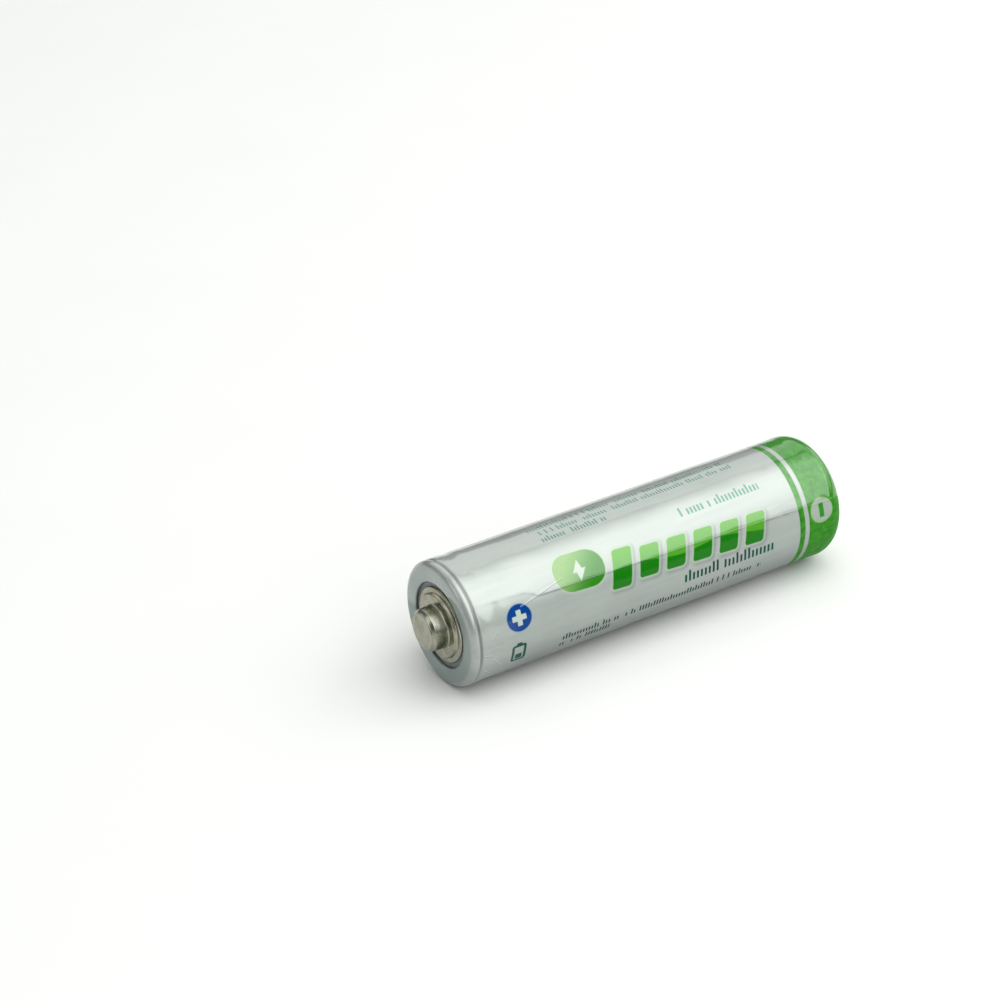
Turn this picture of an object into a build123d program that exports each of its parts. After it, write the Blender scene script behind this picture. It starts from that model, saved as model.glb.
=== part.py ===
from build123d import *
import os

os.makedirs("parts", exist_ok=True)

# A round zinc-carbon dry cell of size R6 (AA), lying on its side on Z = 0. Its axis runs along X
# with the positive end towards -X, and the origin is under the middle of its length.
# Every piece is turned about the axis, so each profile is drawn as (place, radius). A place, the
# _AT values below, is counted along the axis from the middle, towards the positive end.

# ---- The whole cell
CELL_LENGTH = 50.4
CELL_DIAMETER = 13.8
NUB_RISE = 2.0  # the nub's face stands this far beyond the sleeve
CONTACT_RISE = 0.15  # and so does the negative contact at the other end
CLEARANCE = 0.03  # between curved faces that only lie against each other

CELL_RADIUS = CELL_DIAMETER / 2
NUB_FACE_AT = CELL_LENGTH / 2
CONTACT_FACE_AT = -CELL_LENGTH / 2
POSITIVE_END_AT = NUB_FACE_AT - NUB_RISE
NEGATIVE_END_AT = CONTACT_FACE_AT + CONTACT_RISE

# ---- Printed shrink sleeve
SLEEVE_WALL = 0.15
POSITIVE_OPENING = 4.76  # radius
NEGATIVE_OPENING = 4.62
NEGATIVE_CORNER = 2.2
SHOULDER_RADIUS = 0.8  # it ends where the dip at the closure's rim begins
RIM_LINE_WIDTH = 0.4  # the sleeve dips where the closure meets the can
RIM_LINE_DEPTH = 0.05
RIM_LINE_AT = POSITIVE_END_AT - SHOULDER_RADIUS - RIM_LINE_WIDTH / 2
NECK_FROM_END = 3.1  # a bead rolled into the can shows through the sleeve
NECK_WIDTH = 2.4
NECK_DEPTH = 0.1
NECK_AT = POSITIVE_END_AT - NECK_FROM_END

# ---- Positive cap, drawn from sheet
CAP_SHEET = 0.25
NUB_TIP_RADIUS = 2.0  # the nub's tip is a little slimmer than its body
NUB_TIP_LENGTH = 0.12
NUB_TIP_SLOPE = 0.3  # length of the slope from the tip to the body
NUB_TIP_FILLET = 0.08
NUB_BODY_RADIUS = 2.3
NUB_BODY_FILLET = 0.1
NUB_INNER_TIP = 1.77  # radius inside, where the slope meets the roof
NUB_INNER_SHIFT = 0.1  # along the axis, so that the slope is as thick as the rest
NUB_ROOT_RADIUS = 2.4
NUB_EDGE = 0.08
NUB_ROOT_FILLET = 0.15
PLATEAU_RADIUS = 3.45
PLATEAU_RISE = 0.3
STEP_DRAFT = 0.15
STEP_FILLET = 0.12
FLANGE_RADIUS = 4.2
FLANGE_EDGE = 0.2
FLANGE_SINK = 0.13  # the flange's face lies this far below the sleeve's end
DIMPLE_RADIUS = 0.3
DIMPLE_DEPTH = 0.06
DIMPLE_EDGE = 0.3

FLANGE_AT = POSITIVE_END_AT - FLANGE_SINK
FLANGE_SEAT_AT = FLANGE_AT - CAP_SHEET
PLATEAU_AT = FLANGE_AT + PLATEAU_RISE
CAP_ROOF_AT = NUB_FACE_AT - CAP_SHEET
NUB_TIP_END_AT = NUB_FACE_AT - NUB_TIP_LENGTH
NUB_BODY_AT = NUB_TIP_END_AT - NUB_TIP_SLOPE

# ---- Zinc can, open at the positive end
CAN_RADIUS = CELL_RADIUS - SLEEVE_WALL - CLEARANCE
CAN_WALL = 0.32
CAN_FLOOR = 0.5
CAN_CORNER = 1.4
CAN_INNER_CORNER = 0.95
CAN_BORE = CAN_RADIUS - CAN_WALL
CAN_SEALANT_THICKNESS = 0.08
CAN_MOUTH_AT = RIM_LINE_AT - CAN_SEALANT_THICKNESS / 2
MOUTH_CHAMFER = 0.12  # on the can and on the closure, either side of the line between them

# ---- Plastic closure that plugs the can
CLOSURE_TOP_AT = POSITIVE_END_AT - SLEEVE_WALL
CLOSURE_LIP = 4.9  # radius of the recess that holds the cap
CLOSURE_SHOULDER = SHOULDER_RADIUS - SLEEVE_WALL
CLOSURE_WEB = 1.52  # thickness under the cap's seat
CLOSURE_RIM_AT = RIM_LINE_AT + CAN_SEALANT_THICKNESS / 2
CLOSURE_WEB_AT = FLANGE_SEAT_AT - CLOSURE_WEB
SKIRT_LENGTH = 4.0
SKIRT_END_AT = CLOSURE_RIM_AT - SKIRT_LENGTH
SKIRT_RADIUS = CAN_BORE - CLEARANCE
SKIRT_WALL = 0.75
SKIRT_LEAD_IN = 0.25
COLLAR_RADIUS = 2.9
COLLAR_LENGTH = 1.1  # the closure's collar grips the rod below its web
COLLAR_END_AT = CLOSURE_WEB_AT - COLLAR_LENGTH

# ---- Bitumen round the rod
WELL_RADIUS = 3.2
WELL_DEPTH = 0.77
SEALANT_CROWN = 0.18  # the poured sealant stands this far above the cap's seat
SEALANT_DRAW = 0.25  # and slopes down from the rod to the well's wall
SEALANT_WELL_AT = FLANGE_SEAT_AT - WELL_DEPTH

# ---- Carbon rod
ROD_RADIUS = 1.95
ROD_CHAMFER = 0.3
ROD_HOLE = ROD_RADIUS + CLEARANCE

# ---- Negative contact plate and the ring that seals its rim
PLATE_SHEET = 0.25
CONTACT_RADIUS = 4.35
CONTACT_EDGE = 0.3
CONTACT_DRAFT = 0.1
PLATE_FOOT_FILLET = 0.1
PLATE_RADIUS = 5.3
SEAL_BORE = 4.55
SEAL_FLOOR = 0.25
SEAL_DEPTH = 0.8  # along the axis

SEAL_FACE_AT = NEGATIVE_END_AT + SLEEVE_WALL + CLEARANCE
PLATE_RIM_AT = SEAL_FACE_AT + SEAL_FLOOR
CAN_BOTTOM_AT = PLATE_RIM_AT + PLATE_SHEET
CAN_FLOOR_AT = CAN_BOTTOM_AT + CAN_FLOOR

# ---- Papers and mix inside the can
SEPARATOR_PAPER = 0.18
SEPARATOR_RADIUS = CAN_BORE - CLEARANCE
SEPARATOR_BORE = SEPARATOR_RADIUS - SEPARATOR_PAPER
CUP_PAPER = 0.25
CUP_HEIGHT = 3.0
CUP_RADIUS = SEPARATOR_BORE - CLEARANCE
CUP_CORNER = 1.1
MIX_HEIGHT = 40.2
MIX_RADIUS = SEPARATOR_BORE - CLEARANCE
MIX_EDGE = 0.4
MIX_WASHER_PAPER = 0.35
SEPARATOR_OVERRUN = 1.0  # the separator stands this far above the mix

CUP_FLOOR_AT = CAN_FLOOR_AT + CLEARANCE
MIX_FLOOR_AT = CUP_FLOOR_AT + CUP_PAPER
CUP_RIM_AT = CUP_FLOOR_AT + CUP_HEIGHT
MIX_TOP_AT = MIX_FLOOR_AT + MIX_HEIGHT
SEPARATOR_TOP_AT = MIX_TOP_AT + SEPARATOR_OVERRUN

PROFILE = Plane(origin=(0, 0, CELL_RADIUS), x_dir=(-1, 0, 0), z_dir=(0, 1, 0))
CELL_AXIS = Axis((0, 0, CELL_RADIUS), (-1, 0, 0))


def across(place):
    """The plane square to the axis at this place, facing the positive end."""
    return Plane(origin=(-place, 0, CELL_RADIUS), z_dir=(-1, 0, 0))


def dip(middle_at, width, depth, radius):
    """Draw a smooth shallow groove in a wall of this radius, towards the negative end."""
    Spline(
        (middle_at + width / 2, radius),
        (middle_at, radius - depth),
        (middle_at - width / 2, radius),
        tangents=[(-1, 0), (-1, 0)],
    )


def necked_wall(radius, from_at, to_at):
    """Draw a wall of this radius towards the negative end, with the neck that the bead makes."""
    Line((from_at, radius), (NECK_AT + NECK_WIDTH / 2, radius))
    dip(NECK_AT, NECK_WIDTH, NECK_DEPTH, radius)
    Line((NECK_AT - NECK_WIDTH / 2, radius), (to_at, radius))


def sleeve_side(inset):
    """Draw one side of the sleeve's film from opening to opening, this far inside its outline."""
    radius = CELL_RADIUS - inset
    shoulder = SHOULDER_RADIUS - inset
    corner = NEGATIVE_CORNER - inset
    face_at = POSITIVE_END_AT - inset
    base_at = NEGATIVE_END_AT + inset
    dip_end = RIM_LINE_AT - RIM_LINE_WIDTH / 2
    Line((face_at, POSITIVE_OPENING), (face_at, radius - shoulder))
    RadiusArc((face_at, radius - shoulder), (face_at - shoulder, radius), -shoulder)
    dip(RIM_LINE_AT, RIM_LINE_WIDTH, RIM_LINE_DEPTH, radius)
    necked_wall(radius, dip_end, base_at + corner)
    RadiusArc((base_at + corner, radius), (base_at, radius - corner), -corner)
    Line((base_at, radius - corner), (base_at, NEGATIVE_OPENING))


def corner_point(centre, radius, place):
    """The point at this place on the arc that turns a corner of the negative end."""
    return (place, centre[1] + (radius**2 - (centre[0] - place) ** 2) ** 0.5)


# Printed shrink sleeve: one tube of film, folded in over the closure and over the can's base
with BuildPart() as printed_sleeve:
    with BuildSketch(PROFILE):
        with BuildLine():
            sleeve_side(0)
            sleeve_side(SLEEVE_WALL)
            Line((POSITIVE_END_AT, POSITIVE_OPENING), (CLOSURE_TOP_AT, POSITIVE_OPENING))
            Line(
                (NEGATIVE_END_AT, NEGATIVE_OPENING),
                (NEGATIVE_END_AT + SLEEVE_WALL, NEGATIVE_OPENING),
            )
        make_face()
    revolve(axis=CELL_AXIS)

# Positive cap: nickel-plated sheet with a flat flange, a low plateau and a tall nub
with BuildPart() as positive_cap:
    step_root_radius = PLATEAU_RADIUS + STEP_DRAFT
    with BuildSketch(PROFILE):
        with BuildLine():
            FilletPolyline(
                (NUB_FACE_AT - DIMPLE_DEPTH, 0),
                (NUB_FACE_AT, DIMPLE_RADIUS),
                (NUB_FACE_AT, NUB_TIP_RADIUS),
                (NUB_TIP_END_AT, NUB_TIP_RADIUS),
                (NUB_BODY_AT, NUB_BODY_RADIUS),
                (PLATEAU_AT, NUB_ROOT_RADIUS),
                (PLATEAU_AT, PLATEAU_RADIUS),
                (FLANGE_AT, step_root_radius),
                (FLANGE_AT, FLANGE_RADIUS),
                (FLANGE_SEAT_AT, FLANGE_RADIUS),
                (FLANGE_SEAT_AT, step_root_radius - CAP_SHEET),
                (PLATEAU_AT - CAP_SHEET, PLATEAU_RADIUS - CAP_SHEET),
                (PLATEAU_AT - CAP_SHEET, NUB_ROOT_RADIUS - CAP_SHEET),
                (NUB_BODY_AT - NUB_INNER_SHIFT, NUB_BODY_RADIUS - CAP_SHEET),
                (CAP_ROOF_AT, NUB_INNER_TIP),
                (CAP_ROOF_AT, 0),
                radius=[
                    0,
                    DIMPLE_EDGE,
                    NUB_EDGE,
                    NUB_TIP_FILLET,
                    NUB_BODY_FILLET,
                    NUB_ROOT_FILLET,
                    STEP_FILLET,
                    STEP_FILLET,
                    FLANGE_EDGE,
                    0,
                    0,
                    0,
                    NUB_ROOT_FILLET + CAP_SHEET,
                    0,
                    0,
                    0,
                ],
                close=True,
            )
        make_face()
    revolve(axis=CELL_AXIS)

# Plastic closure: it plugs the can, carries the cap in a recess, and grips the carbon rod
with BuildPart() as top_closure:
    with BuildSketch(PROFILE):
        with BuildLine():
            Polyline(
                (CLOSURE_RIM_AT, SKIRT_RADIUS),
                (CLOSURE_RIM_AT, CAN_RADIUS - MOUTH_CHAMFER),
                (CLOSURE_RIM_AT + MOUTH_CHAMFER, CAN_RADIUS),
                (CLOSURE_TOP_AT - CLOSURE_SHOULDER, CAN_RADIUS),
            )
            RadiusArc(
                (CLOSURE_TOP_AT - CLOSURE_SHOULDER, CAN_RADIUS),
                (CLOSURE_TOP_AT, CAN_RADIUS - CLOSURE_SHOULDER),
                CLOSURE_SHOULDER,
            )
            Polyline(
                (CLOSURE_TOP_AT, CAN_RADIUS - CLOSURE_SHOULDER),
                (CLOSURE_TOP_AT, CLOSURE_LIP),
                (FLANGE_SEAT_AT, CLOSURE_LIP),
                (FLANGE_SEAT_AT, WELL_RADIUS),
                (SEALANT_WELL_AT, WELL_RADIUS),
                (SEALANT_WELL_AT, ROD_HOLE),
                (COLLAR_END_AT, ROD_HOLE),
                (COLLAR_END_AT, COLLAR_RADIUS),
                (CLOSURE_WEB_AT, COLLAR_RADIUS),
                (CLOSURE_WEB_AT, SKIRT_RADIUS - SKIRT_WALL),
                (SKIRT_END_AT, SKIRT_RADIUS - SKIRT_WALL),
                (SKIRT_END_AT, SKIRT_RADIUS - SKIRT_LEAD_IN),
                (SKIRT_END_AT + SKIRT_LEAD_IN, SKIRT_RADIUS),
            )
            necked_wall(SKIRT_RADIUS, CLOSURE_RIM_AT, SKIRT_END_AT + SKIRT_LEAD_IN)
        make_face()
    revolve(axis=CELL_AXIS)

# Bitumen run between the mouth of the can and the closure's rim
with BuildPart() as can_sealant:
    with BuildSketch(PROFILE):
        with BuildLine():
            Polyline(
                (CLOSURE_RIM_AT, CAN_BORE),
                (CLOSURE_RIM_AT, CAN_RADIUS - MOUTH_CHAMFER),
                (CAN_MOUTH_AT, CAN_RADIUS - MOUTH_CHAMFER),
                (CAN_MOUTH_AT, CAN_BORE),
                close=True,
            )
        make_face()
    revolve(axis=CELL_AXIS)

# Bitumen poured round the carbon rod, into the well in the closure
with BuildPart() as rod_sealant:
    crown_at = FLANGE_SEAT_AT + SEALANT_CROWN
    with BuildSketch(PROFILE):
        with BuildLine():
            Polyline(
                (crown_at, ROD_RADIUS),
                (SEALANT_WELL_AT, ROD_RADIUS),
                (SEALANT_WELL_AT, WELL_RADIUS),
                (crown_at - SEALANT_DRAW, WELL_RADIUS),
            )
            Spline(
                (crown_at - SEALANT_DRAW, WELL_RADIUS),
                (crown_at, ROD_RADIUS),
                tangents=[(0, -1), (1, -1)],
            )
        make_face()
    revolve(axis=CELL_AXIS)

# Carbon rod: the current collector, from the bottom paper up into the nub
with BuildPart() as carbon_rod:
    rod_length = CAP_ROOF_AT - MIX_FLOOR_AT
    with BuildSketch(across(MIX_FLOOR_AT)):
        Circle(ROD_RADIUS)
    extrude(amount=rod_length)
    chamfer(carbon_rod.edges().filter_by(GeomType.CIRCLE), ROD_CHAMFER)

# Paper washer pressed on the mix, which keeps the bitumen and the mix apart
with BuildPart() as mix_washer:
    with BuildSketch(across(MIX_TOP_AT)):
        Circle(MIX_RADIUS)
        Circle(ROD_HOLE, mode=Mode.SUBTRACT)
    extrude(amount=MIX_WASHER_PAPER)

# Cathode mix, pressed round the rod; it is slimmer where it stands in the paper cup
with BuildPart() as cathode_bobbin:
    foot_radius = CUP_RADIUS - CUP_PAPER - CLEARANCE
    foot_corner = CUP_CORNER - CUP_PAPER
    with BuildSketch(PROFILE):
        with BuildLine():
            FilletPolyline(
                (MIX_TOP_AT, ROD_HOLE),
                (MIX_FLOOR_AT, ROD_HOLE),
                (MIX_FLOOR_AT, foot_radius),
                (CUP_RIM_AT + CLEARANCE, foot_radius),
                (CUP_RIM_AT + CLEARANCE, MIX_RADIUS),
                (MIX_TOP_AT, MIX_RADIUS),
                radius=[0, 0, foot_corner, 0, 0, MIX_EDGE],
                close=True,
            )
        make_face()
    revolve(axis=CELL_AXIS)

# Pasted paper separator, rolled into a tube against the wall of the can
with BuildPart() as separator_paper:
    separator_foot_at = CAN_FLOOR_AT + CAN_INNER_CORNER
    with BuildSketch(across(separator_foot_at)):
        Circle(SEPARATOR_RADIUS)
        Circle(SEPARATOR_BORE, mode=Mode.SUBTRACT)
    extrude(amount=SEPARATOR_TOP_AT - separator_foot_at)

# Paper cup that insulates the foot of the mix from the floor of the can
with BuildPart() as bottom_paper_cup:
    with BuildSketch(PROFILE):
        with BuildLine():
            FilletPolyline(
                (CUP_FLOOR_AT, 0),
                (CUP_FLOOR_AT, CUP_RADIUS),
                (CUP_RIM_AT, CUP_RADIUS),
                (CUP_RIM_AT, CUP_RADIUS - CUP_PAPER),
                (MIX_FLOOR_AT, CUP_RADIUS - CUP_PAPER),
                (MIX_FLOOR_AT, 0),
                radius=[0, CUP_CORNER, 0, 0, CUP_CORNER - CUP_PAPER, 0],
                close=True,
            )
        make_face()
    revolve(axis=CELL_AXIS)

# Zinc can: container and negative electrode in one, with a bead rolled in below its mouth
with BuildPart() as zinc_can:
    outer_corner_at = CAN_BOTTOM_AT + CAN_CORNER
    inner_corner_at = CAN_FLOOR_AT + CAN_INNER_CORNER
    with BuildSketch(PROFILE):
        with BuildLine():
            necked_wall(CAN_RADIUS, CAN_MOUTH_AT - MOUTH_CHAMFER, outer_corner_at)
            RadiusArc(
                (outer_corner_at, CAN_RADIUS),
                (CAN_BOTTOM_AT, CAN_RADIUS - CAN_CORNER),
                -CAN_CORNER,
            )
            Polyline(
                (CAN_BOTTOM_AT, CAN_RADIUS - CAN_CORNER),
                (CAN_BOTTOM_AT, 0),
                (CAN_FLOOR_AT, 0),
                (CAN_FLOOR_AT, CAN_BORE - CAN_INNER_CORNER),
            )
            RadiusArc(
                (CAN_FLOOR_AT, CAN_BORE - CAN_INNER_CORNER),
                (inner_corner_at, CAN_BORE),
                CAN_INNER_CORNER,
            )
            necked_wall(CAN_BORE, CAN_MOUTH_AT, inner_corner_at)
            Polyline(
                (CAN_MOUTH_AT, CAN_BORE),
                (CAN_MOUTH_AT, CAN_RADIUS - MOUTH_CHAMFER),
                (CAN_MOUTH_AT - MOUTH_CHAMFER, CAN_RADIUS),
            )
        make_face()
    revolve(axis=CELL_AXIS)

# Negative contact: a pressed tinplate disc against the base of the can
with BuildPart() as negative_plate:
    with BuildSketch(PROFILE):
        with BuildLine():
            FilletPolyline(
                (CONTACT_FACE_AT, 0),
                (CONTACT_FACE_AT, CONTACT_RADIUS),
                (PLATE_RIM_AT, CONTACT_RADIUS + CONTACT_DRAFT),
                (PLATE_RIM_AT, PLATE_RADIUS),
                (CAN_BOTTOM_AT, PLATE_RADIUS),
                (CAN_BOTTOM_AT, CONTACT_RADIUS + CONTACT_DRAFT - PLATE_SHEET),
                (CONTACT_FACE_AT + PLATE_SHEET, CONTACT_RADIUS - PLATE_SHEET),
                (CONTACT_FACE_AT + PLATE_SHEET, 0),
                radius=[
                    0,
                    CONTACT_EDGE,
                    PLATE_FOOT_FILLET,
                    0,
                    0,
                    0,
                    CONTACT_EDGE - PLATE_SHEET,
                    0,
                ],
                close=True,
            )
        make_face()
    revolve(axis=CELL_AXIS)

# Plastic ring that seals the plate's rim and fills the corner under the sleeve
with BuildPart() as bottom_seal_ring:
    film_corner = NEGATIVE_CORNER - SLEEVE_WALL - CLEARANCE
    film_centre = (NEGATIVE_END_AT + NEGATIVE_CORNER, CELL_RADIUS - NEGATIVE_CORNER)
    can_corner = CAN_CORNER + CLEARANCE
    can_centre = (CAN_BOTTOM_AT + CAN_CORNER, CAN_RADIUS - CAN_CORNER)
    seal_lip_at = SEAL_FACE_AT + SEAL_DEPTH
    lip_outside = corner_point(film_centre, film_corner, seal_lip_at)
    lip_inside = corner_point(can_centre, can_corner, seal_lip_at)
    seat_edge = corner_point(can_centre, can_corner, CAN_BOTTOM_AT)
    with BuildSketch(PROFILE):
        with BuildLine():
            Line((SEAL_FACE_AT, SEAL_BORE), (SEAL_FACE_AT, film_centre[1]))
            RadiusArc((SEAL_FACE_AT, film_centre[1]), lip_outside, film_corner)
            Line(lip_outside, lip_inside)
            RadiusArc(lip_inside, seat_edge, -can_corner)
            Polyline(
                seat_edge,
                (CAN_BOTTOM_AT, PLATE_RADIUS + CLEARANCE),
                (PLATE_RIM_AT, PLATE_RADIUS + CLEARANCE),
                (PLATE_RIM_AT, SEAL_BORE),
                (SEAL_FACE_AT, SEAL_BORE),
            )
        make_face()
    revolve(axis=CELL_AXIS)

PIECES = {
    "printed_sleeve": printed_sleeve,
    "positive_cap": positive_cap,
    "top_closure": top_closure,
    "can_sealant": can_sealant,
    "rod_sealant": rod_sealant,
    "carbon_rod": carbon_rod,
    "mix_washer": mix_washer,
    "cathode_bobbin": cathode_bobbin,
    "separator_paper": separator_paper,
    "bottom_paper_cup": bottom_paper_cup,
    "zinc_can": zinc_can,
    "negative_plate": negative_plate,
    "bottom_seal_ring": bottom_seal_ring,
}

for label, piece in PIECES.items():
    piece.part.label = label
    export_step(piece.part, f"parts/{label}.step")
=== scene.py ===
"""Looks for one round dry cell of size R6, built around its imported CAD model.

The frame is the CAD frame, in metres: the axis runs along X with the positive end towards -X, the
printed front faces -Y, and the cell lies on Z = 0. The shapes and the print are worked out in
millimetres. Places round the cell are counted from the front, upwards: as an angle, or as the
length v along the surface. In the print, u is the place along X.
"""

import math

import bpy
import numpy as np
from mathutils import Matrix, Vector


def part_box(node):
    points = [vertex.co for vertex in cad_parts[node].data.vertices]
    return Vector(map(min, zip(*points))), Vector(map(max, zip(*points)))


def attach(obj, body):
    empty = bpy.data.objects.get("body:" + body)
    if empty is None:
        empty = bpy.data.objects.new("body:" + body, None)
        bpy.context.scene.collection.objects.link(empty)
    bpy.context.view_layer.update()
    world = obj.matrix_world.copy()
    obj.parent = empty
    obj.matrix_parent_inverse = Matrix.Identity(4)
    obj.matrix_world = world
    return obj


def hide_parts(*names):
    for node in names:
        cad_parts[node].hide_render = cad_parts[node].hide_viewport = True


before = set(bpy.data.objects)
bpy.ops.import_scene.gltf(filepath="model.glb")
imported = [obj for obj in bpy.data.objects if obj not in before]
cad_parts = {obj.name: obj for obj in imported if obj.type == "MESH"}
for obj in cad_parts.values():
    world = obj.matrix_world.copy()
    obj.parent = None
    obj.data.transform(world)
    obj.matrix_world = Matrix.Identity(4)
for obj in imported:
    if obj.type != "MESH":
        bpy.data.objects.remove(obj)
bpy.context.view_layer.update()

MM = 0.001
BODY = "root"

sleeve_low, sleeve_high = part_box("printed_sleeve")
RADIUS = (sleeve_high.z - sleeve_low.z) / 2 / MM
AXIS_HEIGHT = (sleeve_high.z + sleeve_low.z) / 2 / MM
POSITIVE_END = sleeve_low.x / MM
NEGATIVE_END = sleeve_high.x / MM
HALF_TURN = math.pi * RADIUS


# ---------------------------------------------------------------------------------------- nodes
def srgb(red, green, blue):
    """The linear colour of a display colour given as 0 to 255."""
    linear = [
        c / 255 / 12.92 if c <= 10 else ((c / 255 + 0.055) / 1.055) ** 2.4
        for c in (red, green, blue)
    ]
    return (*linear, 1.0)


class Number:
    """A number in a material's nodes, usable in plain arithmetic."""

    def __init__(self, graph, socket):
        self.graph, self.socket = graph, socket

    def __add__(self, other):
        return self.graph.math("ADD", self, other)

    def __radd__(self, other):
        return self.graph.math("ADD", other, self)

    def __sub__(self, other):
        return self.graph.math("SUBTRACT", self, other)

    def __rsub__(self, other):
        return self.graph.math("SUBTRACT", other, self)

    def __mul__(self, other):
        return self.graph.math("MULTIPLY", self, other)

    __rmul__ = __mul__

    def __truediv__(self, other):
        return self.graph.math("DIVIDE", self, other)


class Graph:
    """The nodes of one material."""

    def __init__(self, name):
        self.material = bpy.data.materials.new(name)
        self.material.use_nodes = True
        self.nodes = self.material.node_tree.nodes
        self.links = self.material.node_tree.links
        self.nodes.clear()
        where = self.add("ShaderNodeTexCoord").outputs["Object"]
        self.place = self.vector("SCALE", where, scale=1 / MM)
        apart = self.add("ShaderNodeSeparateXYZ", {0: self.place})
        self.x, self.y, self.z = (Number(self, s) for s in apart.outputs)
        self.up = self.z - AXIS_HEIGHT
        self.angle = self.math("ARCTAN2", self.up, self.y * -1.0)
        self.from_axis = self.math("SQRT", self.y * self.y + self.up * self.up)

    def feed(self, socket, value):
        if isinstance(value, Number):
            value = value.socket
        if isinstance(value, bpy.types.NodeSocket):
            self.links.new(value, socket)
        else:
            socket.default_value = value

    def add(self, kind, inputs=None, **settings):
        node = self.nodes.new(kind)
        for key, value in settings.items():
            setattr(node, key, value)
        for key, value in (inputs or {}).items():
            self.feed(node.inputs[key], value)
        return node

    def math(self, operation, *values):
        node = self.add("ShaderNodeMath", dict(enumerate(values)), operation=operation)
        return Number(self, node.outputs[0])

    def absolute(self, value):
        return self.math("ABSOLUTE", value)

    def smallest(self, first, second):
        return self.math("MINIMUM", first, second)

    def largest(self, first, second):
        return self.math("MAXIMUM", first, second)

    def limited(self, value, low, high):
        return self.smallest(self.largest(value, low), high)

    def vector(self, operation, first, second=None, scale=None):
        inputs = {0: first}
        if second is not None:
            inputs[1] = second
        if scale is not None:
            inputs["Scale"] = scale
        return self.add("ShaderNodeVectorMath", inputs, operation=operation).outputs[0]

    def fade(self, value, low, high, to_low=0.0, to_high=1.0):
        """Smoothly from to_low where value is below low, to to_high where it is above high."""
        node = self.add(
            "ShaderNodeMapRange",
            {0: value, 1: low, 2: high, 3: to_low, 4: to_high},
            interpolation_type="SMOOTHSTEP",
        )
        return Number(self, node.outputs[0])

    def mix(self, share, first, second):
        """A colour, from first to second."""
        node = self.add("ShaderNodeMix", {0: share, 6: first, 7: second}, data_type="RGBA")
        return node.outputs[2]

    def blend(self, share, first, second):
        """A number, from first to second."""
        node = self.add("ShaderNodeMix", {0: share, 2: first, 3: second})
        return Number(self, node.outputs[0])

    def stretched(self, x=1.0, y=1.0, z=1.0):
        return self.vector("MULTIPLY", self.place, (x, y, z))

    def around(self, per_x=1.0, per_turn=1.0, per_radius=1.0):
        """Coordinates that run along the axis, round it, and away from it."""
        return self.add(
            "ShaderNodeCombineXYZ",
            {
                0: self.x * per_x,
                1: self.angle * (per_turn * RADIUS),
                2: self.from_axis * per_radius,
            },
        ).outputs[0]

    def noise(self, scale, detail=2.0, where=None, roughness=0.5, distortion=0.0):
        node = self.add(
            "ShaderNodeTexNoise",
            {
                "Vector": where or self.place,
                "Scale": scale,
                "Detail": detail,
                "Roughness": roughness,
                "Distortion": distortion,
            },
        )
        return Number(self, node.outputs[0])

    def cells(self, scale, where=None):
        return self.add("ShaderNodeTexVoronoi", {"Vector": where or self.place, "Scale": scale})

    def random(self, seed):
        node = self.add("ShaderNodeTexWhiteNoise", {"W": seed}, noise_dimensions="1D")
        return Number(self, node.outputs["Value"])

    def bump(self, height, onto=None):
        """A bump of this height in millimetres."""
        inputs = {"Height": height, "Distance": MM}
        if onto is not None:
            inputs["Normal"] = onto
        return self.add("ShaderNodeBump", inputs).outputs[0]

    def finish(self, **inputs):
        """The surface shader, with its sockets named by their words joined with _."""
        shader = self.add("ShaderNodeBsdfPrincipled")
        for key, value in inputs.items():
            self.feed(shader.inputs[key.replace("_", " ")], value)
        out = self.add("ShaderNodeOutputMaterial")
        self.links.new(shader.outputs[0], out.inputs[0])
        return self.material


# ----------------------------------------------------------------------------- the sleeve's shape
POSITIVE_OPENING = 4.76
NEGATIVE_OPENING = 4.62
FILM = 0.15
LIP_DEPTH = 0.25
LIP_BEND = 0.12
LIP_THINNED_TO = 0.9  # of the film's thickness
SHOULDER = 0.8
CORNER = 2.2
STEPS_ROUND = 480

# Two hollows run round the sleeve: a sharp line under the shoulder, and below it a wide neck,
# which the inside of the film follows too.
RIM_LINE = POSITIVE_END + 1.0
RIM_LINE_DEPTH = 0.12
RIM_LINE_WIDTH = 0.2
RIM_LINE_REACH = 0.3
NECK = POSITIVE_END + 3.1
NECK_DEPTH = 0.05
NECK_DEPTH_INSIDE = 0.1
NECK_REACH = 1.2

# The step of the wall at the edges of a clear outer layer. One free edge runs at a slant along
# the front: its v at x = 0, its slope, and how far it shifts near the positive end. The other
# edge is at the middle of the back.
LAYER_THICKNESS = 0.012
LAYER_EDGE = 3.13
LAYER_SLANT = 0.029
LAYER_STEP = 0.72
LAYER_STEP_PLACE = -15.3
LAYER_BACK_EDGE = HALF_TURN - 0.3

# Creases in the film: from (x, angle in degrees) to (x, angle), then width and depth in mm. A few
# are puckers below the shoulder, and the others lie along the cell.
CREASES = [
    ((-16.4, 27.5), (-11.6, 34.5), 0.14, 0.012),
    ((-22.4, -1.0), (-19.0, -26.0), 0.16, 0.012),
    ((-20.2, 15.0), (-21.4, 5.5), 0.16, 0.01),
    ((-21.6, -36.0), (-17.0, -31.0), 0.2, 0.014),
    ((12.0, 28.5), (19.0, 31.0), 0.22, 0.01),
    ((15.0, 25.5), (20.4, 29.0), 0.16, 0.008),
    ((-18.0, 62.0), (-13.0, 58.0), 0.2, 0.01),
    ((-13.6, -23.0), (13.0, -26.5), 0.16, 0.006),
]
CREASE_SEED = 7
CREASES_BEHIND = 20
PUCKERS = 16

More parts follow.
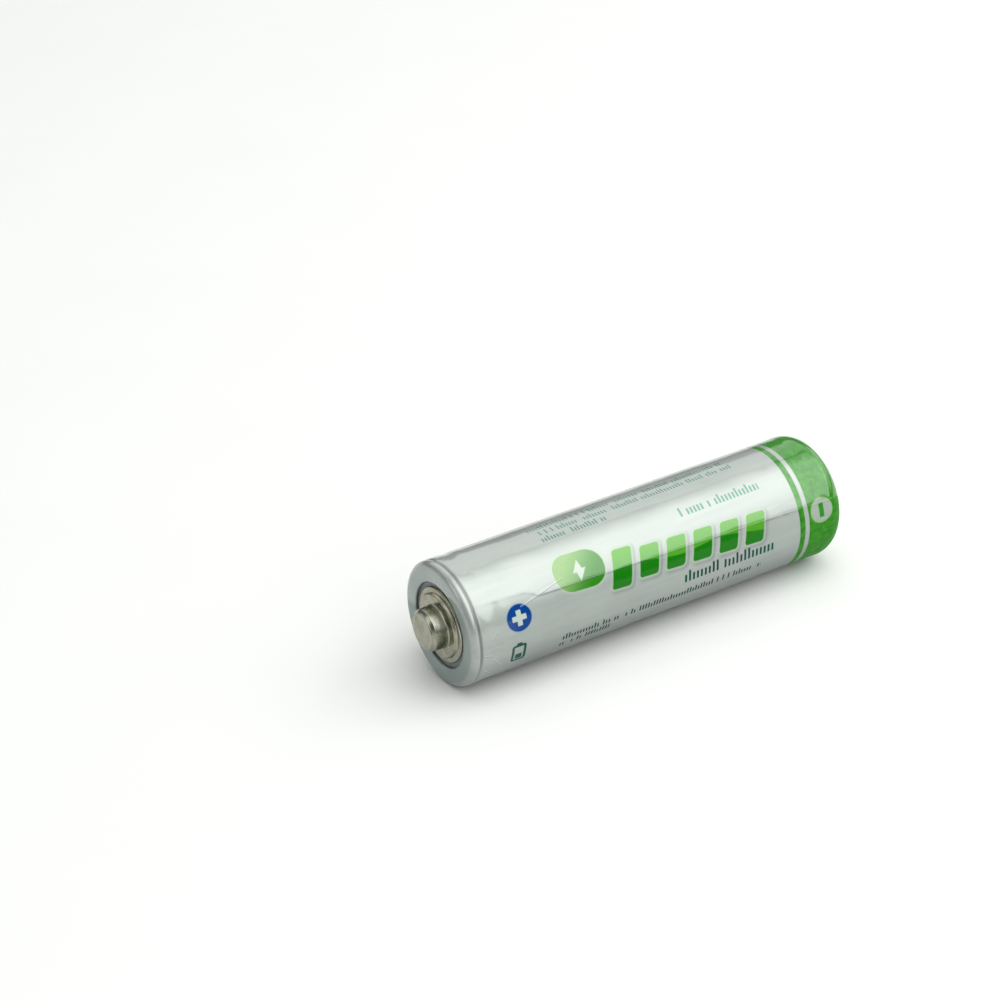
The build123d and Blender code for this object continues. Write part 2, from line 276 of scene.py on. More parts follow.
# Shallow waves of the wall: radians per mm along it, waves round it, phase, and size in mm
WAVES = (
    (0.9, 3, 0.4, 0.004),
    (0.55, -5, 2.0, 0.005),
    (1.7, 7, 1.1, 0.002),
    (0.23, 2, 4.4, 0.014),
    (0.31, 13, 0.9, 0.0022),
    (2.6, -11, 0.0, 0.0015),
)

POSITIVE_RIPPLE_SEED = 3
NEGATIVE_RIPPLE_SEED = 5


def arc(centre, radius, start, end, count):
    """Points (x, r) on an arc, angles in degrees from the +X direction towards +r."""
    turn = np.radians(np.linspace(start, end, count))
    return np.stack([centre[0] + radius * np.cos(turn), centre[1] + radius * np.sin(turn)], 1)


def run(first, last, step):
    """Points from first to last, without the last."""
    length = math.hypot(last[0] - first[0], last[1] - first[1])
    count = max(int(round(length / step)), 1)
    return np.linspace(first, last, count, endpoint=False)


def outline(inset, step_wall):
    """The sleeve's section from opening to opening, this far inside its outer face."""
    shoulder, corner, radius = SHOULDER - inset, CORNER - inset, RADIUS - inset
    face, base = POSITIVE_END + inset, NEGATIVE_END - inset
    bend = max(LIP_BEND - inset, 0.02)
    opening = POSITIVE_OPENING + LIP_THINNED_TO * inset
    below_rim, below_neck = RIM_LINE + RIM_LINE_REACH, NECK + 1.6
    return np.concatenate(
        [
            run((POSITIVE_END + LIP_DEPTH, opening), (face + bend, opening), 0.06),
            arc((face + bend, opening + bend), bend, 270, 180, 8)[:-1],
            run((face, opening + bend), (face, radius - shoulder), 0.09),
            arc((face + shoulder, radius - shoulder), shoulder, 180, 90, 18)[:-1],
            run((face + shoulder, radius), (below_rim, radius), 0.04),
            run((below_rim, radius), (below_neck, radius), 0.1),
            run((below_neck, radius), (base - corner, radius), step_wall),
            arc((base - corner, radius - corner), corner, 90, 0, 30)[:-1],
            run((base, radius - corner), (base, NEGATIVE_OPENING - 0.001), 0.03),
            [(base, NEGATIVE_OPENING)],
        ]
    )


def hump(distance, width):
    return np.exp(-((distance / width) ** 2))


def rise(value, width):
    return 0.5 + 0.5 * np.tanh(value / width)


def ease(value):
    value = np.clip(value, 0, 1)
    return value * value * (3 - 2 * value)


def wrapped(v):
    """The same place round the cell, from -HALF_TURN to HALF_TURN."""
    return (v + HALF_TURN) % (2 * HALF_TURN) - HALF_TURN


def neck(x):
    """From 1 at the middle of the neck to 0 at its ends."""
    dip = np.cos((x - NECK) / NECK_REACH * math.pi / 2) ** 2
    return np.where(np.abs(x - NECK) < NECK_REACH, dip, 0)


def all_creases():
    """The creases above, and more that a seeded draw puts behind and below the shoulder."""
    draw = np.random.default_rng(CREASE_SEED).uniform
    creases = list(CREASES)
    for index in range(CREASES_BEHIND):
        at_positive_end = index % 2
        start = draw(-22, -20.5) if at_positive_end else draw(16, 18)
        length = draw(1.0, 4.0) * (1 if at_positive_end else 0.8)
        angle = draw(70, 290)
        end = (start + length, angle + draw(-12, 12))
        creases.append(((start, angle), end, draw(0.2, 0.4), draw(0.01, 0.025)))
    for _ in range(PUCKERS):
        start, angle = draw(-22.4, -20.8), draw(-75, 5)
        end = (start + draw(0.8, 3.2), angle + draw(-16, 10))
        creases.append(((start, angle), end, draw(0.16, 0.32), draw(0.03, 0.055)))
    return creases


def crease_depth(x, v, crease):
    """How deep this crease is here. It is slightly curved, and fades out towards its ends."""
    (x1, angle1), (x2, angle2), width, depth = crease
    v1, v2 = math.radians(angle1) * RADIUS, math.radians(angle2) * RADIUS
    along = np.array([x2 - x1, v2 - v1])
    length = np.linalg.norm(along)
    along /= length
    middle = (v1 + v2) / 2
    v = wrapped(v - middle) + middle
    share = ((x - x1) * along[0] + (v - v1) * along[1]) / length
    across = (v - v1) * along[0] - (x - x1) * along[1]
    bend = 0.06 * length * np.sin(share * math.pi)
    ends = np.clip(share, 0, 1) * np.clip(1 - share, 0, 1) * 4
    return depth * hump(across - bend, width) * ends


def relief(x, turn, creases):
    """How far the film's face lies below its plain outline."""
    wall = ease((x - RIM_LINE - RIM_LINE_REACH) / 1.2) * ease((NEGATIVE_END - CORNER - x) / 1.2)
    low = RIM_LINE_DEPTH * hump(x - RIM_LINE, RIM_LINE_WIDTH) + NECK_DEPTH * neck(x)
    v = wrapped(turn * RADIUS)
    edge = LAYER_EDGE - LAYER_SLANT * x + LAYER_STEP * rise(LAYER_STEP_PLACE - x, 0.5)
    covered = rise(v - edge, 0.1) * rise(LAYER_BACK_EDGE - v, 0.08)
    low += LAYER_THICKNESS * wall * (1 - covered)
    for crease in creases:
        low += crease_depth(x, turn * RADIUS, crease)
    for along, around, phase, size in WAVES:
        drift = 1.7 * np.sin(0.19 * x + 2 * turn + 3 * phase)
        low += size * wall * (1 + np.sin(along * x + around * turn + phase + drift))
    return low


def fold_ripple(turn, seed):
    """A wavy line round an opening, from -1 to 1."""
    generator = np.random.default_rng(seed)
    total = np.zeros_like(turn)
    for order in range(3, 40):
        size = generator.normal() / order**0.5
        total += size * np.sin(order * turn + generator.uniform(0, 6.3))
    return total / np.abs(total).max()


def outer_ring(x, r, turns, creases, positive_ripple, negative_ripple):
    """One ring of the outer face, with its relief, and with wavy edges at the openings."""
    x_out, r_out = np.full_like(turns, x), np.full_like(turns, r)
    if r > RADIUS - 0.4:
        r_out = r_out - relief(np.full_like(turns, x), turns, creases)
    if x < POSITIVE_END + SHOULDER and r < RADIUS - 0.1:
        flat = RADIUS - SHOULDER
        inward = np.clip((flat - r) / (flat - POSITIVE_OPENING), 0, 1)
        ripple = 1 + positive_ripple
        x_out = x_out + 0.05 * inward**3 + 0.02 * ripple * inward**1.5
        r_out = r_out - 0.03 * ripple * inward**4
    if x > NEGATIVE_END - CORNER and r < RADIUS - 0.4:
        flat = RADIUS - 0.4
        inward = np.clip((flat - r) / (flat - NEGATIVE_OPENING), 0, 1)
        ripple = 1 + negative_ripple
        x_out = x_out - 0.03 * ripple * inward**1.5
        r_out = r_out - 0.02 * ripple * inward * (r > NEGATIVE_OPENING + 0.02)
    return x_out, r_out


def inner_ring(x, r, turns):
    if r > RADIUS - 0.5:
        r = r - NECK_DEPTH_INSIDE * neck(x)
    return np.full_like(turns, x), np.full_like(turns, r)


def sleeve_mesh():
    turns = np.arange(STEPS_ROUND) / STEPS_ROUND * 2 * math.pi
    creases = all_creases()
    positive_ripple = fold_ripple(turns, POSITIVE_RIPPLE_SEED)
    negative_ripple = fold_ripple(turns, NEGATIVE_RIPPLE_SEED)
    rings = [
        outer_ring(x, r, turns, creases, positive_ripple, negative_ripple)
        for x, r in outline(0.0, 0.16)
    ]
    rings += [inner_ring(x, r, turns) for x, r in outline(FILM, 1.2)[::-1]]
    x = np.stack([ring[0] for ring in rings])
    r = np.stack([ring[1] for ring in rings])
    points = np.stack([x, -r * np.cos(turns), AXIS_HEIGHT + r * np.sin(turns)], -1) * MM
    count = len(rings)
    row, column = np.meshgrid(np.arange(count), np.arange(STEPS_ROUND), indexing="ij")
    next_row, next_column = (row + 1) % count, (column + 1) % STEPS_ROUND
    faces = np.stack(
        [
            row * STEPS_ROUND + column,
            row * STEPS_ROUND + next_column,
            next_row * STEPS_ROUND + next_column,
            next_row * STEPS_ROUND + column,
        ],
        -1,
    ).reshape(-1, 4)
    mesh = bpy.data.meshes.new("sleeve_film")
    mesh.from_pydata(points.reshape(-1, 3).tolist(), [], faces.tolist())
    mesh.validate()
    mesh.shade_smooth()
    mesh.update()
    return mesh


# ---------------------------------------------------------------------------------------- print
GREEN_DARK = srgb(16, 108, 6)
GREEN_PALE = srgb(126, 164, 102)
BLUE = srgb(0, 57, 126)
TEAL = srgb(0, 70, 58)
TEAL_DEEP = srgb(4, 56, 50)
TEAL_WORN = srgb(40, 110, 94)
WHITE_INK = srgb(176, 186, 178)
FILM_METALLIC = 0.55
INK_METALLIC = 0.15

PLUS = (-17.36, 1.99)
PLUS_RADIUS = 1.46
MINUS = (21.6, 1.62)
MINUS_RADIUS = 1.38
EMBLEM = (-9.15, 4.55)
FIRST_BAR = (-4.2, 3.5)
BAR_PITCH = 3.45
BARS = 6
ART_TILT = -0.054
BAR_LEAN = 0.28
BAND_START = 19.86
STRIPE = 18.95
STRIPE_HALF = 0.35

# Rows of ticks: from u, to u, v of the middle, height, pitch, seed, strength and ink
TICK_ROWS = (
    (4.6, 15.0, 6.55, 1.1, 0.46, 11.0, 0.8, srgb(20, 124, 100)),
    (3.1, 15.1, -0.55, 1.35, 0.52, 29.0, 1.0, TEAL),
    (-12.2, 13.5, -2.55, 0.8, 0.36, 43.0, 1.0, TEAL_DEEP),
    (-12.4, -6.0, -3.6, 0.8, 0.36, 61.0, 1.0, TEAL_DEEP),
    (-11.7, 13.4, 11.4, 0.8, 0.37, 83.0, 0.8, TEAL_WORN),
    (-11.2, 14.0, 10.3, 0.8, 0.37, 97.0, 0.85, TEAL_WORN),
    (-11.2, -3.0, 9.2, 0.8, 0.37, 113.0, 0.85, srgb(30, 106, 90)),
)

# Wrinkles of the clear layer, from (u, v) to (u, v): a long one, and short ones
LONG_WRINKLE = ((-13.4, -2.95), (13.5, -3.45))
SHORT_WRINKLES = (
    ((-16.9, 3.15), (-11.3, 4.35)),
    ((-21.3, 0.2), (-20.1, 1.3)),
    ((-21.9, -0.9), (-20.9, -1.3)),
    ((-20.6, -1.9), (-19.3, -3.6)),
    ((-21.8, -2.9), (-20.5, -4.5)),
    ((-20.9, -5.6), (-19.7, -4.6)),
)
WRINKLE_HEIGHT = 0.012


def disc(g, u, v, centre, radius):
    off_u, off_v = u - centre[0], v - centre[1]
    return g.math("SQRT", off_u * off_u + off_v * off_v) - radius


def box(g, u, v, centre, half_u, half_v, corner):
    """Distance from a box with rounded corners, negative inside it."""
    out_u = g.absolute(u - centre[0]) - (half_u - corner)
    out_v = g.absolute(v - centre[1]) - (half_v - corner)
    past_u, past_v = g.largest(out_u, 0.0), g.largest(out_v, 0.0)
    outside = g.math("SQRT", past_u * past_u + past_v * past_v)
    inside = g.smallest(g.largest(out_u, out_v), 0.0)
    return outside + inside - corner


def segment(g, u, v, start, end):
    """Distance from a straight line between two points."""
    along_u, along_v = end[0] - start[0], end[1] - start[1]
    square = along_u**2 + along_v**2
    share = ((u - start[0]) * along_u + (v - start[1]) * along_v) * (1 / square)
    share = g.limited(share, 0.0, 1.0)
    off_u = u - start[0] - share * along_u
    off_v = v - start[1] - share * along_v
    return g.math("SQRT", off_u * off_u + off_v * off_v)


def ink(g, distance, soft=0.035):
    """1 inside a shape and 0 outside it, from the distance to its edge."""
    return g.fade(distance, -soft, soft, 1.0, 0.0)


class Film:
    """The film's colour and how metallic it is, while the print is laid on it."""

    def __init__(self, g, colour):
        self.g, self.colour, self.metallic = g, colour, FILM_METALLIC

    def tint(self, mask, colour):
        self.colour = self.g.mix(mask, self.colour, colour)

    def layer(self, mask, colour):
        self.tint(mask, colour)
        self.metallic = self.g.blend(mask, self.metallic, INK_METALLIC)


def print_plus(g, film, u, v):
    """The polarity disc near the positive end, and the little cell drawn below it."""
    film.layer(ink(g, disc(g, u, v, PLUS, PLUS_RADIUS + 0.1)), srgb(132, 152, 168))
    film.layer(ink(g, disc(g, u, v, PLUS, PLUS_RADIUS)), BLUE)
    level, upright = box(g, u, v, PLUS, 0.85, 0.29, 0.08), box(g, u, v, PLUS, 0.29, 0.85, 0.08)
    film.layer(ink(g, g.smallest(level, upright)), WHITE_INK)
    icon_line = g.absolute(box(g, u, v, (-17.6, -2.25), 0.72, 1.05, 0.2)) - 0.15
    icon_line = g.smallest(icon_line, box(g, u, v, (-17.6, -1.0), 0.32, 0.18, 0.05))
    icon_line = g.smallest(icon_line, box(g, u, v, (-17.6, -2.7), 0.4, 0.36, 0.05))
    film.layer(ink(g, icon_line), TEAL)


def bolt(g, u, v):
    """Two blades of three edges each, turned half a turn from each other."""
    blades = []
    for side in (1.0, -1.0):
        edges = [v * -side - 0.16]
        for normal_u, normal_v, reach in ((0.968, 0.25, 0.4), (-0.814, 0.581, 0.563)):
            edges.append(u * (normal_u * side) + v * (normal_v * side) - reach)
        blades.append(g.largest(g.largest(edges[0], edges[1]), edges[2]))
    return g.smallest(*blades)


def print_art(g, film, u, v):
    """A rounded emblem with a bolt, and a row of leaning bars, all with a pale edge."""
    tilt = (u + 9.2) * ART_TILT
    emblem_v = v - tilt
    emblem = box(g, u, emblem_v, EMBLEM, 3.0, 2.05, 1.9)
    bar_u = u - (v - 3.2) * BAR_LEAN - FIRST_BAR[0]
    bar_v = v - tilt - FIRST_BAR[1]
    index = g.limited(g.math("ROUND", bar_u / BAR_PITCH), 0.0, BARS - 1.0)
    tall = 1.65 + 0.42 * (1.0 - g.smallest(index, 1.0))
    bar_u = bar_u - index * BAR_PITCH
    bars = box(g, bar_u, bar_v, (0.0, 0.0), 1.2, tall, 0.35)
    shadow_bars = box(g, bar_u, bar_v, (0.25, -0.22), 1.2, tall, 0.35)
    film.tint(g.fade(shadow_bars, 0.05, 0.6, 0.4, 0.0), srgb(104, 112, 108))
    film.layer(g.fade(g.smallest(emblem, bars), 0.16, 0.3, 0.6, 0.0), srgb(164, 180, 160))

    wave = g.math("SINE", u * 0.55) * 0.3
    lower = g.fade(bar_v + wave, -0.2, 0.02, 1.0, 0.0)
    bar_ink = g.mix(g.fade(bar_v, -1.7, 1.9), srgb(58, 143, 18), srgb(84, 155, 42))
    film.layer(ink(g, bars), g.mix(lower, bar_ink, GREEN_DARK))

    bolt_u, bolt_v = u - EMBLEM[0], emblem_v - EMBLEM[1]
    grain = g.cells(2.6, g.around()).outputs["Distance"]
    emblem_ink = g.mix(g.fade(u - bolt_v * 0.8, -12.2, -6.4), GREEN_PALE, srgb(40, 120, 18))
    emblem_ink = g.mix(g.fade(grain, 0.0, 0.35, 0.35, 0.0), emblem_ink, srgb(70, 150, 50))
    film.layer(ink(g, emblem), emblem_ink)
    film.layer(ink(g, bolt(g, bolt_u, bolt_v), 0.05), WHITE_INK)


def tick_row(g, u, v, first, last, middle, height, pitch, seed):
    """A row of upright ticks in groups, where the real cell has a line of words."""
    step = (u - first) / pitch
    index = g.math("FLOOR", step)
    inside = (step - index) * pitch
    chance, size = g.random(index + seed), g.random(index + (seed + 57.3))
    tall = g.fade(size, 0.66, 0.68, 0.0, height * 0.16)
    centre = (pitch / 2, tall + middle)
    shape = box(g, inside, v, centre, pitch * 0.27, tall + height * 0.34, pitch * 0.1)
    shown = g.math("GREATER_THAN", chance, 0.12) * g.math("GREATER_THAN", u, first)
    return ink(g, shape) * shown * g.math("LESS_THAN", u, last)


def print_band(g, film, u, v):
    """The stripe and the band at the negative end, and the polarity disc on the band."""
    stripe = g.absolute(u - STRIPE) - STRIPE_HALF
    band = g.largest(ink(g, BAND_START - u), ink(g, stripe))
    mottle = g.noise(1.3, 4.0, g.around(), 0.65)
    film.layer(band, g.mix(g.fade(mottle, 0.35, 0.65), srgb(30, 112, 10), srgb(50, 134, 20)))
    film.layer(ink(g, disc(g, u, v, MINUS, MINUS_RADIUS + 0.1)), srgb(112, 160, 80))
    film.layer(ink(g, disc(g, u, v, MINUS, MINUS_RADIUS)), srgb(148, 160, 148))
    film.layer(ink(g, box(g, u, v, MINUS, 0.3, 0.8, 0.05)), srgb(34, 124, 20))


def wrinkles(g, u, v, below_ridge=0.0):
    """1 on the ridges of the wrinkles, or on the lines this far below them."""
    bent = v + g.math("SINE", u * 0.7) * 0.06 + below_ridge
    nearest = segment(g, u, bent, *LONG_WRINKLE) + 0.03
    for wrinkle in SHORT_WRINKLES:
        nearest = g.smallest(nearest, segment(g, u, bent, *wrinkle))
    return g.fade(nearest, 0.01, 0.08, 1.0, 0.0)


def printed_film():
    g = Graph("printed_film")
    u = g.x
    v_true = g.angle * RADIUS

    # The front's print comes twice, once on each side of the cell, and its edges are a bit ragged
    ragged = (g.noise(6.0, 2.0) - 0.5) * 0.03
    v = g.math("WRAP", v_true, HALF_TURN * 2 / 3, -HALF_TURN / 3) + ragged

    # Silver with faint streaks, and a painted shade that darkens it below the middle of each print
    cloud = g.noise(0.35, 3.0, g.around(0.6, 1.0))
    streaks = g.noise(1.7, 2.0, g.around(0.09, 1.0))
    painted_shade_band = g.math("COSINE", (v_true + 6.0) * (2 * math.pi / HALF_TURN))
    film = Film(g, g.mix(cloud, srgb(149, 156, 154), srgb(166, 172, 168)))
    film.tint(g.fade(streaks, 0.3, 0.7) * 0.14, srgb(186, 190, 187))
    film.tint(g.fade(painted_shade_band, 0.2, 0.95, 0.0, 0.35), srgb(104, 110, 112))

    print_plus(g, film, u, v)
    print_art(g, film, u, v)
    for *place, strength, tone in TICK_ROWS:
        film.layer(tick_row(g, u, v, *place) * strength, tone)
    print_band(g, film, u, v)

    # The fold over the positive end is bare film, stretched and dull
    folded = g.fade(g.from_axis, RADIUS - 0.75, RADIUS - 0.45, 1.0, 0.0)
    folded = folded * g.math("LESS_THAN", u, 0.0)
    film.tint(folded * 0.5, srgb(138, 154, 151))
    # Painted shade darkens the groove of the rim line, less where the painted shade band is
    # strongest
    groove_shade = g.fade(g.absolute(u - RIM_LINE), 0.05, 0.26, 0.75, 0.0)
    film.tint(groove_shade * g.fade(painted_shade_band, 0.1, 0.9, 1.0, 0.35), srgb(80, 88, 88))

    # Under the clear outer layer the film is glossier. Its free edge is sharp, but not near the
    # positive end.
    past_edge = v_true + u * LAYER_SLANT - LAYER_EDGE - g.fade(u, -16.2, -14.4, LAYER_STEP, 0.0)
    softness = g.fade(u, -15.0, -12.5, 0.3, 0.03)
    to_back_edge = g.fade(v_true, LAYER_BACK_EDGE - 0.03, LAYER_BACK_EDGE + 0.03, 1.0, 0.0)
    layered = g.fade(past_edge, softness * -1.0, softness) * to_back_edge
    ridge = g.fade(g.absolute(past_edge), 0.0, 0.09, 0.014, 0.0) * g.fade(u, -15.0, -13.0)

    # Each wrinkle is a small bump, with a painted highlight along its ridge and a painted shade
    # along a line below it
    wrinkle = wrinkles(g, u, v_true)
    film.tint(wrinkles(g, u, v_true, 0.12) * 0.3, srgb(92, 100, 104))
    film.tint(wrinkle * 0.35, srgb(206, 214, 216))

    # A soft shadow below the layer's free edge
    shadow = g.fade(g.absolute(past_edge + 0.1), 0.02, 0.2, 1.0, 0.0)
    shadow = shadow * g.fade(g.noise(0.45, 1.0, g.around(1.0, 0.1)), 0.42, 0.62, 0.05, 0.4)
    shadow = shadow * g.fade(u, -18.5, -17.0) * g.fade(u, 18.6, 19.6, 1.0, 0.0)
    film.tint(shadow, srgb(74, 82, 82))

    near_end = g.fade(u, -19.5, -17.0, 1.0, 0.0) * (1.0 - folded)
    edge = g.bump(layered * LAYER_THICKNESS + ridge + wrinkle * WRINKLE_HEIGHT)
    return g.finish(
        Base_Color=film.colour,
        Metallic=film.metallic,
        Roughness=0.42 + 0.1 * (cloud - 0.5) + 0.08 * (streaks - 0.5) + folded * 0.12,
        Normal=g.bump((g.noise(14.0, 2.0) - 0.5) * 0.004, edge),
        Specular_IOR_Level=0.0,
        Coat_Weight=0.2 + 0.8 * layered + 0.5 * near_end * (1.0 - layered),
        Coat_Roughness=0.07,
        Coat_IOR=1.75,
        Coat_Normal=edge,
    )


# ------------------------------------------------------------------------------------ the rest
def plated_steel(name, tone, warm, base_rough):
    """Drawn sheet steel with a thin plating: turning marks, handling marks, dull patches."""
    g = Graph(name)
    marks = g.noise(7.0, 3.0, g.around(0.35, 0.03, 3.2), 0.6)
    patches = g.noise(0.9, 3.0)
    rub = g.noise(26.0, 2.0, g.stretched(y=0.35))
    pits = g.fade(g.cells(3.4).outputs["Distance"], 0.03, 0.12, 1.0, 0.0)
    colour = g.mix(g.fade(patches, 0.35, 0.65), tone, warm)
    colour = g.mix(g.fade(marks, 0.4, 0.7, 0.0, 0.3), colour, srgb(206, 204, 194))
    colour = g.mix(pits * 0.35, colour, srgb(88, 84, 74))
    height = (marks - 0.5) * 0.004 + (rub - 0.5) * 0.001 - pits * 0.003
    return g.finish(
        Base_Color=colour,
        Metallic=1.0,
        Roughness=base_rough + 0.14 * (patches - 0.5) + 0.12 * (marks - 0.5) + 0.05 * rub,
        Normal=g.bump(height),
    )


def moulded(name, tone, dark, base_rough, grain):
    """Moulded plastic with a fine spark-eroded grain and flow clouds."""
    g = Graph(name)
    cloud = g.noise(0.7, 3.0)
    spark = g.noise(grain, 3.0)
    return g.finish(
        Base_Color=g.mix(g.fade(cloud, 0.3, 0.7), dark, tone),
        Roughness=base_rough + 0.15 * (spark - 0.5) + 0.1 * (cloud - 0.5),
        Normal=g.bump((spark - 0.5) * 0.02),
    )


def paper(name, tone, dark, stain):
    """Paper: long fibres, a cloudy formation and damp stains."""
    g = Graph(name)
    fibres = g.noise(5.0, 4.0, g.around(1.0, 0.18, 1.0), 0.7, 1.2)
    cross = g.noise(6.0, 4.0, g.around(0.2, 1.0, 1.0), 0.7, 1.0)
    cloud = g.noise(0.6, 3.0)
    colour = g.mix(g.fade(fibres * 0.5 + cross * 0.5, 0.35, 0.65), dark, tone)
    colour = g.mix(g.fade(cloud, 0.52, 0.75, 0.0, 0.55), colour, stain)
    return g.finish(
        Base_Color=colour,
        Roughness=0.8 + 0.2 * (fibres - 0.5),
        Normal=g.bump((fibres + cross - 1.0) * 0.03),
        Sheen_Weight=0.15,
    )


def grains(name, tone, dark, speck, size, base_rough, height):
    """Pressed or baked powder: grains, pores and bright specks."""
    g = Graph(name)
    grain = g.cells(size)
    pores = g.noise(size * 0.6, 4.0)
    sparkle = g.fade(g.cells(size * 1.7).outputs["Distance"], 0.04, 0.14, 1.0, 0.0)
    colour = g.mix(g.fade(pores, 0.3, 0.7), dark, tone)
    colour = g.mix(sparkle * 0.5, colour, speck)
    lie = g.fade(grain.outputs["Distance"], 0.0, 0.6, 1.0, 0.0) + pores - 1.0
    return g.finish(
        Base_Color=colour,
        Roughness=base_rough + 0.2 * (pores - 0.5),
        Normal=g.bump(lie * height),
    )


def bitumen():
    """Poured bitumen: slow flow lines and a little dust."""
    g = Graph("bitumen")
    flow = g.noise(0.8, 2.0, distortion=0.8)
    dust = g.fade(g.noise(12.0, 4.0), 0.55, 0.72)
    colour = g.mix(flow, srgb(20, 16, 14), srgb(44, 36, 30))
    colour = g.mix(dust * 0.35, colour, srgb(92, 86, 78))
    return g.finish(
        Base_Color=colour,
        Roughness=0.22 + 0.2 * dust + 0.1 * flow,
        Normal=g.bump((flow - 0.5) * 0.12 + dust * 0.004),
    )


def zinc():
    """Drawn zinc: lines along the can over faint spangles."""
    g = Graph("zinc")
    drawn = g.noise(8.0, 3.0, g.around(0.04, 1.0, 0.4), 0.6)
    spangle = g.cells(0.8).outputs["Color"]
    cloud = g.noise(1.2, 3.0)
    colour = g.mix(cloud, srgb(150, 158, 166), srgb(176, 182, 188))
    colour = g.mix(0.12, colour, spangle)
    colour = g.mix(g.fade(drawn, 0.5, 0.75, 0.0, 0.4), colour, srgb(118, 124, 132))
    return g.finish(
        Base_Color=colour,
        Metallic=0.9,
        Roughness=0.42 + 0.2 * (drawn - 0.5) + 0.1 * cloud,
        Normal=g.bump((drawn - 0.5) * 0.015),
    )


NODE_LOOKS = {
    "positive_cap": plated_steel("nickel_plate", srgb(150, 151, 138), srgb(134, 133, 110), 0.22),
    "negative_plate": plated_steel("tinplate", srgb(184, 185, 180), srgb(172, 172, 165), 0.24),
    "top_closure": moulded(
        "closure_plastic", srgb(112, 118, 119), srgb(96, 102, 104), 0.42, 14.0
    ),
    "bottom_seal_ring": moulded(
        "seal_plastic", srgb(214, 214, 208), srgb(196, 196, 190), 0.45, 16.0
    ),
    "can_sealant": bitumen(),
    "carbon_rod": grains(
        "carbon", srgb(62, 62, 66), srgb(36, 36, 40), srgb(128, 128, 134), 6.0, 0.5, 0.02
    ),
    "cathode_bobbin": grains(
        "cathode_mix", srgb(46, 44, 46), srgb(22, 21, 23), srgb(96, 94, 96), 2.8, 0.8, 0.08
    ),
    "mix_washer": paper("kraft_paper", srgb(196, 164, 120), srgb(158, 124, 84), srgb(120, 92, 62)),
    "separator_paper": paper(
        "separator_paper", srgb(232, 226, 208), srgb(208, 200, 180), srgb(186, 176, 150)
    ),
    "zinc_can": zinc(),
    "printed_sleeve": printed_film(),
}
NODE_LOOKS["rod_sealant"] = NODE_LOOKS["can_sealant"]
NODE_LOOKS["bottom_paper_cup"] = NODE_LOOKS["mix_washer"]

for node_name, material in NODE_LOOKS.items():
    node_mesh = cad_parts[node_name].data
    node_mesh.materials.clear()
    node_mesh.materials.append(material)

sleeve = bpy.data.objects.new("sleeve_film", sleeve_mesh())
bpy.context.scene.collection.objects.link(sleeve)
sleeve.data.materials.append(NODE_LOOKS["printed_sleeve"])
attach(sleeve, BODY)
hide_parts("printed_sleeve")


# -------------------------------------------------------------------------- floor, light, camera
FLOOR_HALF = 3.0
LAMP_WHITE = (0.985, 1.0, 0.975)
ROOM_WHITE = (0.97, 1.0, 0.99, 1)
ORIGIN = (0.0, 0.0, 0.0)


def floor_sheet():
    g = Graph("floor_card")
    mesh = bpy.data.meshes.new("floor")
    half = FLOOR_HALF
    corners = [(-half, -half, 0), (half, -half, 0), (half, half, 0), (-half, half, 0)]
    mesh.from_pydata(corners, [], [(0, 1, 2, 3)])
    mesh.materials.append(
        g.finish(
            Base_Color=g.mix(g.noise(0.05, 2.0), srgb(220, 220, 220), srgb(223, 223, 223)),
            Roughness=0.9,
            Specular_IOR_Level=0.1,
        )
    )
    floor = bpy.data.objects.new("floor", mesh)
    bpy.context.scene.collection.objects.link(floor)


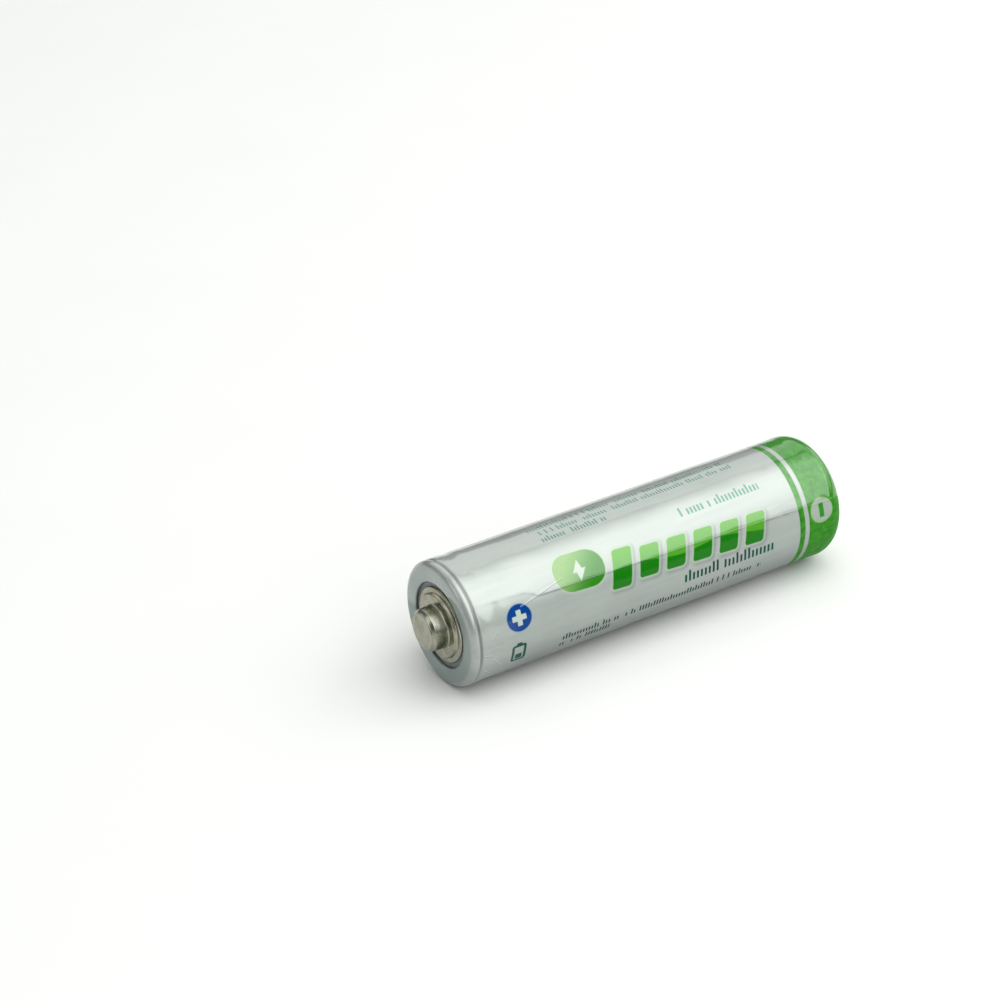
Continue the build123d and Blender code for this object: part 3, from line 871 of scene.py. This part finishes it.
def softbox(name, place, size, power, colour=LAMP_WHITE, aim=ORIGIN, flag=None):
    """A soft rectangular light whose brightness falls off towards its edges.

    A flag, given as reach, slant and softness, is a dark card with a slanted edge in front of it.
    """
    lamp = bpy.data.lights.new(name, "AREA")
    lamp.shape = "RECTANGLE"
    lamp.size, lamp.size_y = size
    lamp.energy = power
    lamp.color = colour
    lamp.use_nodes = True
    tree = lamp.node_tree
    spot = tree.nodes.new("ShaderNodeNewGeometry").outputs["Parametric"]
    apart = tree.nodes.new("ShaderNodeSeparateXYZ")
    tree.links.new(spot, apart.inputs[0])

    def step(socket, low, high):
        node = tree.nodes.new("ShaderNodeMapRange")
        node.interpolation_type = "SMOOTHSTEP"
        tree.links.new(socket, node.inputs[0])
        node.inputs[1].default_value, node.inputs[2].default_value = low, high
        return node.outputs[0]

    def calculate(operation, first, second):
        node = tree.nodes.new("ShaderNodeMath")
        node.operation = operation
        for socket, value in zip(node.inputs, (first, second)):
            if isinstance(value, float):
                socket.default_value = value
            else:
                tree.links.new(value, socket)
        return node.outputs[0]

    across, along = apart.outputs["X"], apart.outputs["Y"]
    strength = calculate("MULTIPLY", step(across, -0.1, 0.35), step(across, 1.0, 0.88))
    strength = calculate("MULTIPLY", strength, step(along, 1.0, 0.7))
    if flag is not None:
        reach, slant, soft = flag
        slid = calculate("ADD", along, calculate("MULTIPLY", across, slant))
        past_flag, beside_flag = step(slid, reach - soft, reach + soft), step(across, 0.45, 0.38)
        strength = calculate("MULTIPLY", strength, calculate("MAXIMUM", past_flag, beside_flag))
    tree.links.new(strength, tree.nodes["Emission"].inputs["Strength"])
    light = bpy.data.objects.new(name, lamp)
    light.location = place
    light.rotation_euler = (Vector(aim) - Vector(place)).to_track_quat("-Z", "Y").to_euler()
    bpy.context.scene.collection.objects.link(light)


def camera():
    """A long lens, left of the front and above, aimed at where the middle of a pack of four is."""
    aim = Vector((-0.0035, 0.0192, AXIS_HEIGHT * MM))
    left_of_front, height, roll = math.radians(30.82), math.radians(28.33), math.radians(-3.215)
    distance = 0.3110
    back = Vector(
        (
            -math.sin(left_of_front) * math.cos(height),
            -math.cos(left_of_front) * math.cos(height),
            math.sin(height),
        )
    )
    right = Vector((0, 0, 1)).cross(back).normalized()
    up = back.cross(right)
    turned_right = right * math.cos(roll) + up * math.sin(roll)
    turned_up = up * math.cos(roll) - right * math.sin(roll)
    view = bpy.data.cameras.new("camera")
    view.lens, view.sensor_width = 100.08, 36.0
    view.clip_start, view.clip_end = 0.01, 20.0
    eye = bpy.data.objects.new("camera", view)
    turn = Matrix((turned_right, turned_up, back)).transposed()
    eye.matrix_world = Matrix.Translation(aim + back * distance) @ turn.to_4x4()
    bpy.context.scene.collection.objects.link(eye)
    bpy.context.scene.camera = eye


floor_sheet()
softbox(
    "key_softbox",
    (0.25, -0.335, 0.37),
    (1.20, 1.28),
    12.5,
    colour=(0.985, 1.0, 0.97),
    aim=(0.25, -0.227, 0.0),
    flag=(0.8215, 0.994, 0.03),
)
softbox("back_softbox", (0.1, 0.95, 0.5), (1.3, 1.5), 6.6, aim=(0.1, 0.95, 0.0))
softbox("side_softbox", (0.78, 0.0, 0.32), (1.1, 0.45), 2.0)
softbox("left_softbox", (-0.6, 0.12, 0.34), (0.4, 0.4), 0.7)

world = bpy.data.worlds.new("studio")
world.use_nodes = True
background = world.node_tree.nodes["Background"]
background.inputs["Color"].default_value = ROOM_WHITE
background.inputs["Strength"].default_value = 0.2
bpy.context.scene.world = world
bpy.context.scene.view_settings.view_transform = "Standard"
camera()
